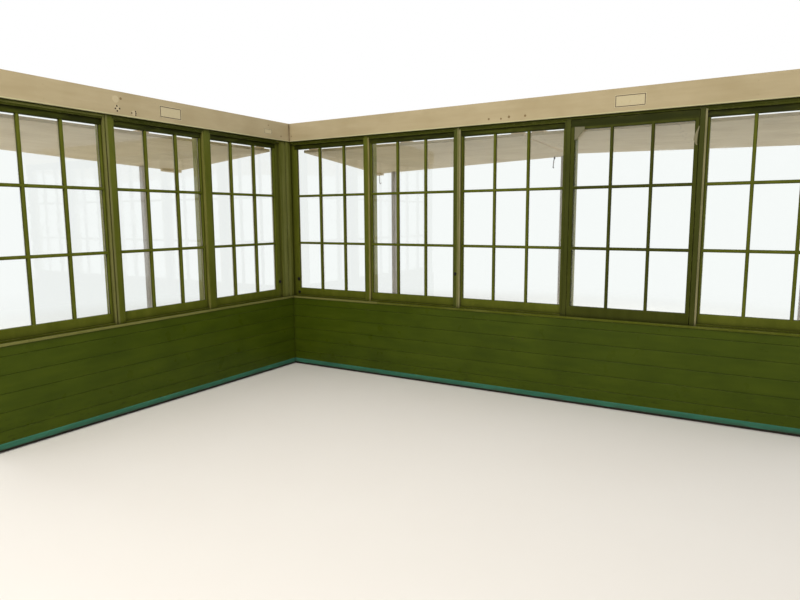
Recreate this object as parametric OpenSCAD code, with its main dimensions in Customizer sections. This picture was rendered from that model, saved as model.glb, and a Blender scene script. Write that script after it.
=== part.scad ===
// Window wall corner of a live-in fire lookout cab: the back wall with five
// nine-light sashes and three bays of the left wall, with the awning shutters
// propped up outside. X runs along the back wall, the left wall runs along -Y,
// the room is at +X and -Y, and Z = 0 is the deck that the plates stand on.

/* [Heights] */
// Deck to the underside of the sashes
sill_h = 624; // [450:1:800]
// Height of one pane of glass that shows
pane_h = 392; // [250:1:430]
// Height of the window heads, up to the top plates
head_h = 88; // [60:1:300]
// Height of the heads that shows below the cream frieze
head_shows = 18; // [10:1:50]
// Height of the base strip above the deck gap
base_h = 34; // [25:1:140]
// Face width of a dado board
dado_pitch = 107; // [70:1:140]
// What is left of the uppermost dado board, under the stool
dado_first = 58; // [30:1:140]

/* [Bays of the back wall] */
// Corner to the first window opening
back_jamb = 77; // [70:1:120]
// Corner to the middle of post 1
back_post_1 = 850; // [800:1:900]
// Corner to the middle of post 2
back_post_2 = 1673; // [1640:1:1740]
// Corner to the middle of post 3
back_post_3 = 2512; // [2480:1:2580]
// Corner to the middle of post 4
back_post_4 = 3333; // [3300:1:3400]
// Corner to the middle of the end post
back_post_5 = 4160; // [4120:1:4240]
// Width of the back wall's posts
back_post_w = 30; // [26:1:60]
// The glazing bars of the first sash stand off centre
first_sash_shift = 22; // [-30:1:40]

/* [Bays of the left wall] */
// Corner to the first window opening
left_jamb = 201; // [180:1:230]
// Corner to the middle of post 1
left_post_1 = 976; // [950:1:1050]
// Corner to the middle of post 2
left_post_2 = 1784; // [1750:1:1860]
// Corner to the middle of the end post
left_post_3 = 2629; // [2580:1:2700]
// Width of the left wall's posts
left_post_w = 54; // [36:1:70]
// How far off centre the glazing bars of the first left sash stand, away from the corner
left_shift_1 = 7; // [-30:1:30]
// The same for the second, which stands off towards the corner
left_shift_2 = -12; // [-40:1:30]
// The same for the third
left_shift_3 = 5; // [-30:1:30]

/* [Framing] */
// Depth of studs, posts and plates
stud_d = 76; // [74:1:140]
// Thickness of the sole plate and of each top plate
plate_t = 41; // [30:1:50]
// Thickness of the inner boards: dado, base strip and frieze
board_t = 19; // [12:1:25]
// Thickness of the siding
siding_t = 20; // [14:1:24]
// Thickness of the outside casings
casing_t = 25; // [22:1:35]
// How far the outside corner board stops short of the corner jambs' edges
corner_clear = 30; // [15:1:36]
// How far the narrow casings lap over the stiles beside them
narrow_lap = 3; // [2:1:10]

/* [Sashes] */
// Thickness of a sash
sash_t = 35; // [30:1:45]
// Width of a stile
stile_w = 25; // [22:1:45]
// Height of the bottom rail
bottom_rail = 75; // [45:1:100]
// Height of the top rail
top_rail = 48; // [35:1:70]
// Width of a glazing bar
bar_w = 21; // [18:1:32]
// Width of the middle column of glass
pane_w = 233; // [200:1:245]
// Thickness of the glass
glass_t = 3; // [2:0.5:5]
// Gap between a sash and its opening
sash_gap = 2; // [1:0.5:4]
// Width of the stops that hold the sashes
stop_w = 12; // [8:1:16]
// Corner to the recess beside the left wall's corner jamb
recess_start = 166; // [140:1:175]
// Width of the strip that covers the joint in the inner corner
corner_strip_w = 58; // [40:1:80]
// The fourth sash is hung inward of the others by this much
inner_sash_in = 20; // [20:1:24]
// Its top rail is taller by this much
inner_rail_extra = 17; // [0:1:30]

/* [Shutters] */
// Reach of a raised shutter, out from its hinged edge
shutter_reach = 1210; // [900:1:1400]
// Thickness of the shutter boards
shutter_t = 22; // [16:1:30]
// Gap from the casing to the hinged edge
shutter_gap = 27; // [24:1:40]
// Fall from the window head to the underside of the hinged edge
shutter_fall = 68; // [56:1:86]
// Number of boards in a shutter
shutter_boards = 10; // [6:1:14]
// Corner to the first back shutter
shutter_start = 100; // [75:1:200]
// Corner to the middle of the gap between the back shutters
shutter_meet = 2159; // [1800:1:2400]
// Corner to the left shutter
left_shutter_start = 150; // [100:1:300]
// Gap between the back shutters
shutter_part = 16; // [8:1:40]
// The last shutters stop short of the end posts by this much
shutter_end = 6; // [0:1:60]
// Fall of the first back shutter from hinge to outer edge, corner end
fall_a0 = 117; // [0:1:180]
// The same at its far end
fall_a1 = 42; // [0:1:180]
// Fall of the second back shutter, near end
fall_b0 = 24; // [0:1:180]
// The same at its far end
fall_b1 = 64; // [0:1:180]
// Fall of the left shutter, corner end
fall_l0 = 116; // [0:1:180]
// The same at its far end
fall_l1 = 21; // [0:1:180]
// Side of a square prop
prop_w = 41; // [30:1:60]
// Length of the cleat under the outer corner of the first back shutter
back_cleat_w = 80; // [60:1:160]
// Length of the cleat under the outer corner of the left shutter
left_cleat_w = 200; // [100:1:300]

/* [Hidden] */

// Half the wall, from its middle plane to the face of the studs
half = stud_d / 2;
// A sash stands in the middle of the wall, from here, inside, to there, outside
sash_in_y = -sash_t / 2;
sash_out_y = sash_t / 2;
// Depth of the stop that lies against a sash, a step short of the face of the posts
stop_back = 4;
stop_d = half - sash_t / 2 - stop_back;
// Outer face of the casings
casing_y = half + casing_t;
sash_h = bottom_rail + 3 * pane_h + 2 * bar_w + top_rail;
head_z = sill_h + sash_h + sash_gap + 1;
plate_z = head_z + head_h;
ceiling_h = plate_z + 2 * plate_t;
frieze_z = head_z + head_shows;
shutter_z = head_z - shutter_fall;
stool_t = 15;
sill_t = 41;
stool_out = 7;
deck_gap = 20;
back_posts = [back_post_1, back_post_2, back_post_3, back_post_4, back_post_5];
left_posts = [left_post_1, left_post_2, left_post_3];
back_end = back_post_5 + back_post_w / 2;
left_end = left_post_3 + left_post_w / 2;
// How far each sash of the back wall is hung inward
back_inward = [0, 0, 0, inner_sash_in, 0];

trim_green = "#4f5d22";
dado_green = "#44621f";
cream = "#d8cbae";
outside_cream = "#d6cfbb";
faded_green = "#8b8a63";
teal = "#3c7a66";
raw_wood = "#b9976a";
weathered = "#a8a49c";

// Where a bay starts and ends along its wall
function bay_start(posts, w, jamb, i) = i == 0 ? jamb : posts[i - 1] + w / 2;
function bay_end(posts, w, i) = posts[i] - w / 2;

function back_start(i) = bay_start(back_posts, back_post_w, back_jamb, i);
function back_stop(i) = bay_end(back_posts, back_post_w, i);
function left_start(i) = bay_start(left_posts, left_post_w, left_jamb, i);
function left_stop(i) = bay_end(left_posts, left_post_w, i);
function back_shift(i) = i == 0 ? first_sash_shift : 0;
function left_shift(i) = [left_shift_1, left_shift_2, left_shift_3][i];

// A piece of the left wall is drawn as on the back wall, then turned into place
module on_left() {
    mirror([1, 1, 0]) children();
}

// A section in depth and height, run along the wall from x0 to x1
module along(x0, x1) {
    translate([x0, 0, 0])
        rotate([90, 0, 90])
            linear_extrude(x1 - x0)
                children();
}

// A plan outline, run up from z0 to z1
module up(z0, z1) {
    translate([0, 0, z0])
        linear_extrude(z1 - z0)
            children();
}

// One edge of a sash member, from its inner face outward in depth: an ovolo,
// then the fillet that the glass lies against, then the rabbet for the putty
ovolo_w = 5.5;
ovolo_d = 12;
glass_d = 19;
rabbet_w = 6;
function sash_edge(w) = concat(
    [for (a = [0:22.5:90]) [w - ovolo_w + ovolo_w * sin(a), ovolo_d * (1 - cos(a))]],
    [[w, glass_d], [w - rabbet_w, glass_d], [w - rabbet_w, sash_t]]);

// Section of a stile or rail of width w, moulded on its far edge
module member(w) {
    polygon(concat([[0, 0]], sash_edge(w), [[0, sash_t]]));
}

// Section of a glazing bar, moulded on both edges, centred on zero
module bar() {
    edge = sash_edge(bar_w / 2);
    far = [for (i = [len(edge) - 1:-1:0]) [-edge[i][0], edge[i][1]]];
    polygon(concat(edge, far));
}

// Widths of the three columns of glass in a sash of width w
function columns(w, shift) =
    let (outer = (w - 2 * stile_w - 2 * bar_w - pane_w) / 2)
    [outer + shift, pane_w, outer - shift];

// Left edge of column c, and lower edge of row r, from the sash's lower left corner
function column_x(w, shift, c) =
    let (cols = columns(w, shift))
    stile_w + (c > 0 ? cols[0] + bar_w : 0) + (c > 1 ? cols[1] + bar_w : 0);
function row_z(r) = bottom_rail + r * (pane_h + bar_w);

// A nine-light sash, w wide, lower left inner corner at zero
module sash_frame(w, shift, extra) {
    up(0, sash_h) member(stile_w);
    translate([w, 0, 0]) mirror([1, 0, 0]) up(0, sash_h) member(stile_w);
    // rails: the section's first axis is turned to run in height
    along(0, w) mirror([1, -1]) member(bottom_rail);
    translate([0, 0, sash_h]) mirror([0, 0, 1]) along(0, w) mirror([1, -1]) member(top_rail + extra);
    for (c = [1, 2])
        translate([column_x(w, shift, c) - bar_w / 2, 0, 0])
            up(bottom_rail / 2, sash_h - top_rail / 2) bar();
    for (r = [1, 2])
        translate([0, 0, row_z(r) - bar_w / 2])
            along(stile_w / 2, w - stile_w / 2) mirror([1, -1]) bar();
}

// A sash in its bay
module sash(x0, x1, shift, inward) {
    extra = inward > 0 ? inner_rail_extra : 0;
    color(trim_green)
        translate([x0 + sash_gap, sash_in_y - inward, sill_h])
            sash_frame(x1 - x0 - 2 * sash_gap, shift, extra);
}

// The nine panes of a sash, each bedded in its rabbet
lap_w = 5;
module panes(x0, x1, shift, inward) {
    w = x1 - x0 - 2 * sash_gap;
    cols = columns(w, shift);
    extra = inward > 0 ? inner_rail_extra : 0;
    color("#cfe0e6")
        for (c = [0:2], r = [0:2])
            translate([x0 + sash_gap + column_x(w, shift, c) - lap_w,
                       sash_in_y - inward + glass_d,
                       sill_h + row_z(r) - lap_w])
                cube([cols[c] + 2 * lap_w, glass_t,
                      pane_h + 2 * lap_w - (r == 2 ? extra : 0)]);
}

function inward(i) = back_inward[i];

// Depth of the stop's near face: inside the sash, or outside an inward one
function stop_y(inw) = inw > 0 ? sash_out_y - inw : sash_in_y - stop_d;
function stop_len(inw) = inw > 0 ? inw : stop_d;

// A post of width w, its inner edges eased between sill and head; inl and inr say how the sash on
// each side sits, and a side with no sash has a negative value
ease = 3;
module post(w, inl, inr) {
    color(trim_green) {
        for (ends = [[plate_t, sill_h], [head_z, plate_z]])
            up(ends[0], ends[1])
                translate([-w / 2, -half]) square([w, stud_d]);
        up(sill_h - 1, head_z + 1)
            polygon([[-w / 2, half], [-w / 2, -half + ease], [-w / 2 + ease, -half],
                     [w / 2 - ease, -half], [w / 2, -half + ease], [w / 2, half]]);
        up(sill_h, head_z) {
            if (inl >= 0)
                translate([-w / 2 - stop_w, stop_y(inl)]) square([stop_w + w / 4, stop_len(inl)]);
            if (inr >= 0)
                translate([w / 4, stop_y(inr)]) square([stop_w + w / 4, stop_len(inr)]);
        }
    }
}

module back_post(i) {
    translate([back_posts[i], 0, 0])
        post(back_post_w, inward(i), i < 4 ? inward(i + 1) : -1);
}

module left_post(i) {
    on_left()
        translate([left_posts[i], 0, 0])
            post(left_post_w, 0, i < 2 ? 0 : -1);
}

// The main post where the walls meet
module corner_post() {
    color(trim_green)
        up(plate_t, plate_z)
            square([stud_d, stud_d], center = true);
}

// Packing beside the corner post, full depth behind the dado and the frieze and
// set back between them from x = recess on, so that it lies level with the sash
set_back = 2;
bead_w = 8;
bead_d = 10;
module jamb(w, recess) {
    face_y = sash_in_y + set_back;
    // the bead that holds the sash from outside
    up(sill_h, casing_top())
        translate([w - 1, sash_out_y]) square([bead_w + 1, bead_d]);
    up(plate_t, plate_z)
        translate([half, face_y]) square([w - half, half - face_y]);
    up(plate_t, sill_h)
        translate([half, -half]) square([w - half, stud_d]);
    up(head_z, plate_z)
        translate([half, -half]) square([w - half, stud_d]);
    if (recess > half)
        up(plate_t, plate_z)
            translate([half, -half]) square([recess - half, stud_d]);
}
module corner_jamb_back() {
    color(trim_green) jamb(back_jamb, half);
}

// The left one carries the strip that covers the inner corner's joint
corner_strip_t = 8;
module corner_jamb_left() {
    color(trim_green)
        on_left() {
            jamb(left_jamb, recess_start);
            up(sill_h, frieze_z)
                translate([half, -half - corner_strip_t])
                    square([corner_strip_w, corner_strip_t + 1]);
        }
}

// A plate runs over the corner where it laps the other wall's, or stops against it
module plate(z0, end, laps) {
    start = laps ? -half : half;
    translate([start, -half, z0])
        cube([end - start, stud_d, plate_t]);
}
module sole_plate_back() {
    color(raw_wood) plate(0, back_end, true);
}
module sole_plate_left() {
    color(raw_wood) on_left() plate(0, left_end, false);
}
module top_plates_back() {
    color(raw_wood) {
        plate(plate_z, back_end, false);
        plate(plate_z + plate_t, back_end, true);
    }
}
module top_plates_left() {
    color(raw_wood)
        on_left() {
            plate(plate_z, left_end, true);
            plate(plate_z + plate_t, left_end, false);
        }
}

// Head of one bay, with its stop, which ends at the stops of the posts
module head(x0, x1, inw, at_corner) {
    from = at_corner ? x0 : x0 + stop_w;
    along(x0, x1)
        polygon([[-half, plate_z], [-half, head_z + ease], [-half + ease, head_z],
                 [half, head_z], [half, plate_z]]);
    along(from, x1 - stop_w)
        translate([stop_y(inw), head_z - stop_w]) square([stop_len(inw), stop_w + 1]);
}
module head_back() {
    color(trim_green)
        for (i = [0:4])
            head(back_start(i), back_stop(i), inward(i), i == 0);
}
module head_left() {
    color(trim_green)
        on_left()
            for (i = [0:2])
                head(left_start(i), left_stop(i), 0, i == 0);
}

// Sill: stool inside, sill blocks between the posts, sloped sill outside
sill_nose = 29;
sill_fall = 12;
stool_in = half + board_t + stool_out;
module stool_section() {
    polygon([[-stool_in, sill_h - stool_t + 2], [-stool_in + 2, sill_h - stool_t], [-half, sill_h - stool_t],
             [-half, sill_h], [-stool_in + 2, sill_h], [-stool_in, sill_h - 2]]);
}
module outer_sill_section() {
    polygon([[half, sill_h - sill_t], [casing_y + sill_nose, sill_h - sill_t],
             [casing_y + sill_nose, sill_h - sill_fall], [casing_y, sill_h], [half, sill_h]]);
}
module sill_block(x0, x1, inw, at_corner) {
    from = at_corner ? x0 : x0 + stop_w;
    translate([x0, -half, sill_h - sill_t])
        cube([x1 - x0, stud_d + 1, sill_t]);
    // a tongue into the stool, over the dado
    translate([x0, -half - 1, sill_h - stool_t])
        cube([x1 - x0, 2, stool_t]);
    if (inw == 0)
        translate([from, stop_y(0), sill_h - 1])
            cube([x1 - stop_w - from, stop_d, stop_w + 1]);
}
module sill_back() {
    color(trim_green) {
        along(half, back_end) stool_section();
        along(back_jamb - corner_clear, back_end) outer_sill_section();
        for (i = [0:4])
            sill_block(back_start(i), back_stop(i), inward(i), i == 0);
    }
}
module sill_left() {
    color(trim_green)
        on_left() {
            along(stool_in, left_end) stool_section();
            along(left_jamb - corner_clear, left_end) outer_sill_section();
            for (i = [0:2])
                sill_block(left_start(i), left_stop(i), 0, i == 0);
        }
}

// Boards laid one on another from z0 to z1, with a V at each joint, face at -Y. The
// uppermost is ripped to the height first, and the lowest to what is left.
v_cut = 3;
least_board = 20;
module grooved_face(z0, z1, first, pitch, t) {
    last = floor((z1 - z0 - first - least_board) / pitch);
    polygon(concat(
        [[0, z0], [-t, z0]],
        [for (k = [last:-1:0], p = [[-t, -v_cut], [-t + v_cut, 0], [-t, v_cut]])
            [p[0], z1 - first - k * pitch + p[1]]],
        [[-t, z1], [0, z1]]));
}
module dado(x0, x1) {
    color(dado_green)
        along(x0, x1)
            translate([-half, 0])
                grooved_face(deck_gap + base_h, sill_h - stool_t, dado_first, dado_pitch, board_t);
}
module dado_back() {
    dado(half, back_end);
}
module dado_left() {
    on_left() dado(half + board_t, left_end);
}

// Base strip, a little thicker than the dado, off the deck by a gap
base_extra = 3;
module base_strip(x0, x1) {
    color(teal)
        along(x0, x1)
            polygon([[-half, deck_gap], [-half - board_t - base_extra, deck_gap],
                     [-half - board_t - base_extra, deck_gap + base_h - 4],
                     [-half - board_t, deck_gap + base_h], [-half, deck_gap + base_h]]);
}
module base_back() {
    base_strip(half, back_end);
}
module base_left() {
    on_left() base_strip(half + board_t + base_extra, left_end);
}

// Frieze between the window heads and the ceiling
module frieze(x0, x1) {
    color(cream)
        translate([x0, -half - board_t, frieze_z])
            cube([x1 - x0, board_t, ceiling_h - frieze_z]);
}
module frieze_back() {
    frieze(half, back_end);
}
module frieze_left() {
    on_left() frieze(half + board_t, left_end);
}

// Outside board that wraps the corner, and stops short of the first sashes
module corner_leg(jamb_x) {
    up(0, ceiling_h)
        translate([-casing_y, half]) square([casing_y + jamb_x - corner_clear, casing_t]);
}
module corner_board() {
    color(outside_cream) {
        corner_leg(back_jamb);
        on_left() corner_leg(left_jamb);
    }
}

// Outside casing of a post of width w, lapping over the stiles, with the bead that
// holds each sash; far says whether there is a sash beyond the post
module casing(w, lap, far) {
    bead = max(lap, bead_w);
    up(sill_h, casing_top()) {
        translate([-w / 2 - lap, half]) square([w + (far ? 2 : 1) * lap, casing_t]);
        translate([-w / 2 - bead, sash_out_y]) square([bead, half - sash_out_y + 1]);
        if (far)
            translate([w / 2, sash_out_y]) square([bead, half - sash_out_y + 1]);
    }
}
function casing_top() = head_z - top_rail / 2 - sash_gap;
module casings_back() {
    color(faded_green)
        for (i = [0:4])
            translate([back_posts[i], 0, 0]) casing(back_post_w, i == 1 ? narrow_lap : stile_w, i < 4);
}
module casings_left() {
    color(faded_green)
        on_left()
            for (i = [0:2])
                translate([left_posts[i], 0, 0]) casing(left_post_w, i == 1 ? narrow_lap : stile_w, i < 2);
}

// Outside head board with a blind stop over each sash
module head_board(x0, x1) {
    translate([x0, half, casing_top()])
        cube([x1 - x0, casing_t, ceiling_h - casing_top()]);
}
module blind_stop(x0, x1) {
    translate([x0, sash_out_y, casing_top()])
        cube([x1 - x0, half - sash_out_y + 1, head_z - casing_top()]);
}
module head_board_back() {
    color(outside_cream) {
        head_board(back_jamb - corner_clear, back_end);
        for (i = [0:4])
            blind_stop(back_start(i), back_stop(i));
    }
}
module head_board_left() {
    color(outside_cream)
        on_left() {
            head_board(left_jamb - corner_clear, left_end);
            for (i = [0:2])
                blind_stop(left_start(i), left_stop(i));
        }
}

// Drop siding under the sills, coved at each joint
siding_boards = 5;
cove = 9;
module siding(x0, x1) {
    top = sill_h - sill_t;
    pitch = top / siding_boards;
    color(outside_cream)
        along(x0, x1)
            polygon(concat(
                [[half, top], [half, 0], [half + siding_t, 0]],
                [for (k = [1:siding_boards - 1], p = [[0, -cove - 8], [-cove, -8], [-cove, 0], [0, 0]])
                    [half + siding_t + p[0], k * pitch + p[1]]],
                [[half + siding_t, top]]));
}
module siding_back() {
    siding(back_jamb - corner_clear, back_end);
}
module siding_left() {
    on_left() siding(left_jamb - corner_clear, left_end);
}

// A shutter is a list: start, end, and the fall to its outer edge at each
hinge_y = casing_y + shutter_gap;
shutter_a = [shutter_start, shutter_meet - shutter_part / 2, fall_a0, fall_a1];
shutter_b = [shutter_meet + shutter_part / 2, back_end - shutter_end, fall_b0, fall_b1];
shutter_l = [left_shutter_start, left_end - shutter_end, fall_l0, fall_l1];

// Underside of shutter s at x along the wall and t out from the hinged edge
function slope(s, x) = (s[2] + (s[3] - s[2]) * (x - s[0]) / (s[1] - s[0])) / shutter_reach;
function under_z(s, x, t) = shutter_z - slope(s, x) * t;

// A slab that follows a sagging shutter between two places, lo to hi above it.
// It is lofted through stations along the wall, because a sagging board twists.
module sheet(s, x0, x1, t0, t1, lo, hi, stations) {
    ring = [[t0, lo], [t1, lo], [t1, hi], [t0, hi]];
    polyhedron(
        points = [for (i = [0:stations], c = ring)
            let (x = x0 + (x1 - x0) * i / stations)
            [x, hinge_y + c[0], under_z(s, x, c[0]) + c[1]]],
        faces = concat(
            [[0, 1, 2, 3], [for (k = [3:-1:0]) 4 * stations + k]],
            [for (i = [0:stations - 1], k = [0:3], half_face = [0, 1])
                let (a = 4 * i + k, b = 4 * i + (k + 1) % 4)
                half_face == 0 ? [b, a, a + 4] : [b, a + 4, b + 4]]));
}

batten_w = 90;
batten_t = 22;
board_gap = 2;
batten_bed = 3;
batten_in = 25;
batten_back = 40;
cleat_w = 56;
cleat_in = 4;
cleat_t = 20;
// Middles of the battens of shutter s
function battens(s) =
    let (in = batten_in + batten_w / 2)
    [s[0] + in, (s[0] + s[1]) / 2, s[1] - in];
module shutter(s, cleat) {
    board = shutter_reach / shutter_boards;
    color(outside_cream) {
        for (k = [0:shutter_boards - 1])
            sheet(s, s[0], s[1], k * board, (k + 1) * board - board_gap, 0, shutter_t, 5);
        for (x = battens(s))
            sheet(s, x - batten_w / 2, x + batten_w / 2, batten_back, shutter_reach - batten_in,
                  shutter_t - batten_bed, shutter_t + batten_t, 1);
        if (cleat > 0)
            sheet(s, s[0], s[0] + cleat, shutter_reach - cleat_in - cleat_w, shutter_reach - cleat_in,
                  -cleat_t, 1, 1);
    }
}
module shutter_b1() {
    shutter(shutter_a, back_cleat_w);
}
module shutter_b2() {
    shutter(shutter_b, 0);
}
module shutter_l1() {
    on_left() shutter(shutter_l, left_cleat_w);
}

// Square props from the deck up to shutter s, as far as x along the wall
prop_in = 30;
seat = 0.3;
module prop(s, x) {
    t = shutter_reach - prop_in;
    near = under_z(s, x - prop_w / 2, t + prop_w / 2);
    far = under_z(s, x + prop_w / 2, t + prop_w / 2);
    translate([x - prop_w / 2, hinge_y + t - prop_w / 2, 0])
        cube([prop_w, prop_w, min(near, far) - seat]);
}
prop_a_in = 222;
prop_b_in = 48;
prop_l_in = 419;
prop_far_in = 200;
module props_back() {
    color(weathered) {
        prop(shutter_a, shutter_a[0] + prop_a_in);
        prop(shutter_a, shutter_a[1] - prop_b_in);
        prop(shutter_b, shutter_b[1] - prop_far_in);
    }
}
module props_left() {
    color(weathered)
        on_left() {
            prop(shutter_l, shutter_l[0] + prop_l_in);
            prop(shutter_l, shutter_l[1] - prop_far_in);
        }
}

// Strap hinge: a leaf on the head board, a knuckle, and a strap on the shutter
leaf_h = 62;
leaf_t = 4;
knuckle_r = 7;
strap_l = 260;
strap_w = 40;
strap_lift = 0.6;
module hinge(s, x) {
    fall = slope(s, x);
    z0 = shutter_z + shutter_t + strap_lift;
    ky = casing_y + leaf_t + knuckle_r;
    kz = z0 + leaf_t / 2;
    color("#5b5a52")
        along(x - strap_w / 2, x + strap_w / 2) {
            translate([casing_y, kz - 4]) square([leaf_t, leaf_h]);
            translate([ky, kz]) circle(r = knuckle_r, $fn = 32);
            translate([casing_y, kz - 3]) square([leaf_t + knuckle_r, 6]);
            polygon([for (p = [[ky, 0], [hinge_y + strap_l, 0], [hinge_y + strap_l, leaf_t], [ky, leaf_t]])
                [p[0], z0 - (p[0] - hinge_y) * fall + p[1]]]);
        }
}
// Each stands off its post by this much, so that the post hides it from the room
hinge_off_a = [50, 43];
hinge_off_b = [26, 10, 160];
hinge_off_l = [81, 62, 149];
// Between a strap and a batten of the same shutter
hinge_clear = 10;
function off_battens(s, x) =
    let (keep = batten_w / 2 + strap_w / 2 + hinge_clear,
         near = [for (b = battens(s)) if (abs(x - b) < keep) b])
    len(near) == 0 ? x : near[0] + (x < near[0] ? -keep : keep);
module hinges() {
    for (i = [0:1])
        hinge(shutter_a, off_battens(shutter_a, back_posts[i] - hinge_off_a[i]));
    for (i = [0:2])
        hinge(shutter_b, off_battens(shutter_b, back_posts[i + 2] - hinge_off_b[i]));
    on_left()
        for (i = [0:2])
            hinge(shutter_l, off_battens(shutter_l, left_posts[i] - hinge_off_l[i]));
}

module back_sash(i) {
    sash(back_start(i), back_stop(i), back_shift(i), inward(i));
}
module left_sash(i) {
    on_left() sash(left_start(i), left_stop(i), left_shift(i), 0);
}
module glass_back() {
    for (i = [0:4])
        panes(back_start(i), back_stop(i), back_shift(i), inward(i));
}
module glass_left() {
    on_left()
        for (i = [0:2])
            panes(left_start(i), left_stop(i), left_shift(i), 0);
}

corner_post();
corner_jamb_back();
corner_jamb_left();
back_post(0);  // post_b1
back_post(1);  // post_b2
back_post(2);  // post_b3
back_post(3);  // post_b4
back_post(4);  // end_post_back
left_post(0);  // post_l1
left_post(1);  // post_l2
left_post(2);  // end_post_left
back_sash(0);  // sash_b1
back_sash(1);  // sash_b2
back_sash(2);  // sash_b3
back_sash(3);  // sash_b4
back_sash(4);  // sash_b5
left_sash(0);  // sash_l1
left_sash(1);  // sash_l2
left_sash(2);  // sash_l3
glass_back();
glass_left();
sole_plate_back();
sole_plate_left();
top_plates_back();
top_plates_left();
head_back();
head_left();
sill_back();
sill_left();
dado_back();
dado_left();
base_back();
base_left();
frieze_back();
frieze_left();
corner_board();
casings_back();
casings_left();
head_board_back();
head_board_left();
siding_back();
siding_left();
shutter_b1();
shutter_b2();
shutter_l1();
props_back();
props_left();
hinges();
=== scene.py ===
"""Finishes of a fire lookout cab's window wall corner, in the order in which it goes together."""

import math
import random

import bmesh
import bpy
from mathutils import Matrix, Vector


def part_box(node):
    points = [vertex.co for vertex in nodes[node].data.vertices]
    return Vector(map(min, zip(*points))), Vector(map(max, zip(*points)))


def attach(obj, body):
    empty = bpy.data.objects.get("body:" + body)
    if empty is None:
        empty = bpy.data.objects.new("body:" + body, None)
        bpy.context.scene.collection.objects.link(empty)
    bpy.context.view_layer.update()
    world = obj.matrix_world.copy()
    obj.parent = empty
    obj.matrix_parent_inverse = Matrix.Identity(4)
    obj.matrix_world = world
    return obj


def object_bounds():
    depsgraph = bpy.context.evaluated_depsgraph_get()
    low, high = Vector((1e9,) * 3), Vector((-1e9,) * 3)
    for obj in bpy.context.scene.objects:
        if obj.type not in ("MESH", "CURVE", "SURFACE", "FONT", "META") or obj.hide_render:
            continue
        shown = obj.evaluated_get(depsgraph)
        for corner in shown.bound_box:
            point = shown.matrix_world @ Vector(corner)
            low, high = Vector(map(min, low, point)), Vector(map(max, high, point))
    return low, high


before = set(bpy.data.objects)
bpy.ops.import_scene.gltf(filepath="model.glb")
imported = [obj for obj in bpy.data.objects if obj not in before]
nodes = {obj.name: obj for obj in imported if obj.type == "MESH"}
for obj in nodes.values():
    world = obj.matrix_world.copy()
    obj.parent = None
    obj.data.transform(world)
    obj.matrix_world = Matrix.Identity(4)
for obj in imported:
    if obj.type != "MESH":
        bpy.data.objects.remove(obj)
cad_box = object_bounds()


# Sole plates and doubled top plates. They are rough two by fours of sawn pine,
# lapped and spiked at the corner, and the boards hide them from both sides.
def linear(code):
    """An sRGB hex colour as the linear colour that a socket takes."""
    parts = [int(code[i : i + 2], 16) / 255 for i in (1, 3, 5)]
    return tuple(c / 12.92 if c <= 0.04045 else ((c + 0.055) / 1.055) ** 2.4 for c in parts) + (1,)


def feed(tree, node, inputs):
    """Gives each named input of a node its value, or the output that feeds it."""
    for name, value in inputs.items():
        if isinstance(value, bpy.types.NodeSocket):
            tree.links.new(value, node.inputs[name])
        else:
            node.inputs[name].default_value = value


def add(tree, kind, inputs=None, **settings):
    """One node with its settings and inputs."""
    made = tree.nodes.new("ShaderNode" + kind)
    for name, value in settings.items():
        setattr(made, name, value)
    feed(tree, made, inputs or {})
    return made


def finish_named(name):
    """An empty material, its tree and its Principled shader."""
    material = bpy.data.materials.new(name)
    material.use_nodes = True
    tree = material.node_tree
    return material, tree, tree.nodes["Principled BSDF"]


def lying_at(tree, axis):
    """How far along "X", "Y" or "Z" each point of the surface lies, in metres."""
    place = add(tree, "TexCoord").outputs["Object"]
    return add(tree, "SeparateXYZ", {"Vector": place}).outputs[axis]


def streaks(tree, run, width_mm, length_mm, detail=3.0):
    """Noise drawn out along the way that a board runs: "x", "y" or "z"."""
    scale = [1000 / width_mm] * 3
    scale["xyz".index(run)] = 1000 / length_mm
    place = add(tree, "TexCoord").outputs["Object"]
    drawn = add(tree, "Mapping", {"Vector": place, "Scale": scale}).outputs["Vector"]
    noise = add(tree, "TexNoise", {"Vector": drawn, "Scale": 1.0, "Detail": detail, "Roughness": 0.6})
    return noise.outputs["Fac"]


def spots(tree, size_mm, detail=3.0):
    """Noise of that size, alike in every direction."""
    place = add(tree, "TexCoord").outputs["Object"]
    noise = add(tree, "TexNoise", {"Vector": place, "Scale": 1000 / size_mm, "Detail": detail})
    return noise.outputs["Fac"]


def over(tree, coat, colour, *patterns, share=1.0):
    """A coat, and over it another colour where every one of some patterns is strong. A pattern
    is a value and the range over which it rises. Share is the most that the colour covers."""
    for value, low, high in patterns:
        share = add(tree, "MapRange", {"Value": value, "From Min": low, "From Max": high,
                                       "To Max": share}).outputs["Result"]
    mixed = add(tree, "MixRGB", {"Fac": share, "Color1": coat, "Color2": linear(colour)})
    return mixed.outputs["Color"]


# Up to this height the sole plates are painted nearly black: painted shade in the gap under the base strip.
SHADED_FOOT, SHADE_FADES = 0.026, 0.004


def sawn_pine(name, run):
    """Sawn pine: yellow early wood, browner late wood 5 mm apart, saw marks across, dry and
    matt. The foot, in the gap under the base strip, is painted nearly black as painted shade."""
    material, tree, shader = finish_named(name)
    wood = over(tree, linear("#c6a678"), "#9c7647", (streaks(tree, run, 5, 260), 0.35, 0.65))
    wood = over(tree, wood, "#8d7a62", (spots(tree, 220), 0.45, 0.75), share=0.35)
    wood = over(tree, wood, "#14110c", (lying_at(tree, "Z"), SHADED_FOOT, SHADED_FOOT - SHADE_FADES), share=0.96)
    rough = add(tree, "Bump", {"Height": streaks(tree, run, 2.5, 90), "Strength": 0.5, "Distance": 0.0008})
    feed(tree, shader, {"Base Color": wood, "Normal": rough.outputs["Normal"], "Roughness": 0.82})
    return material


def dress(name, material):
    """Gives a CAD node its finish."""
    nodes[name].data.materials.clear()
    nodes[name].data.materials.append(material)


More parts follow.
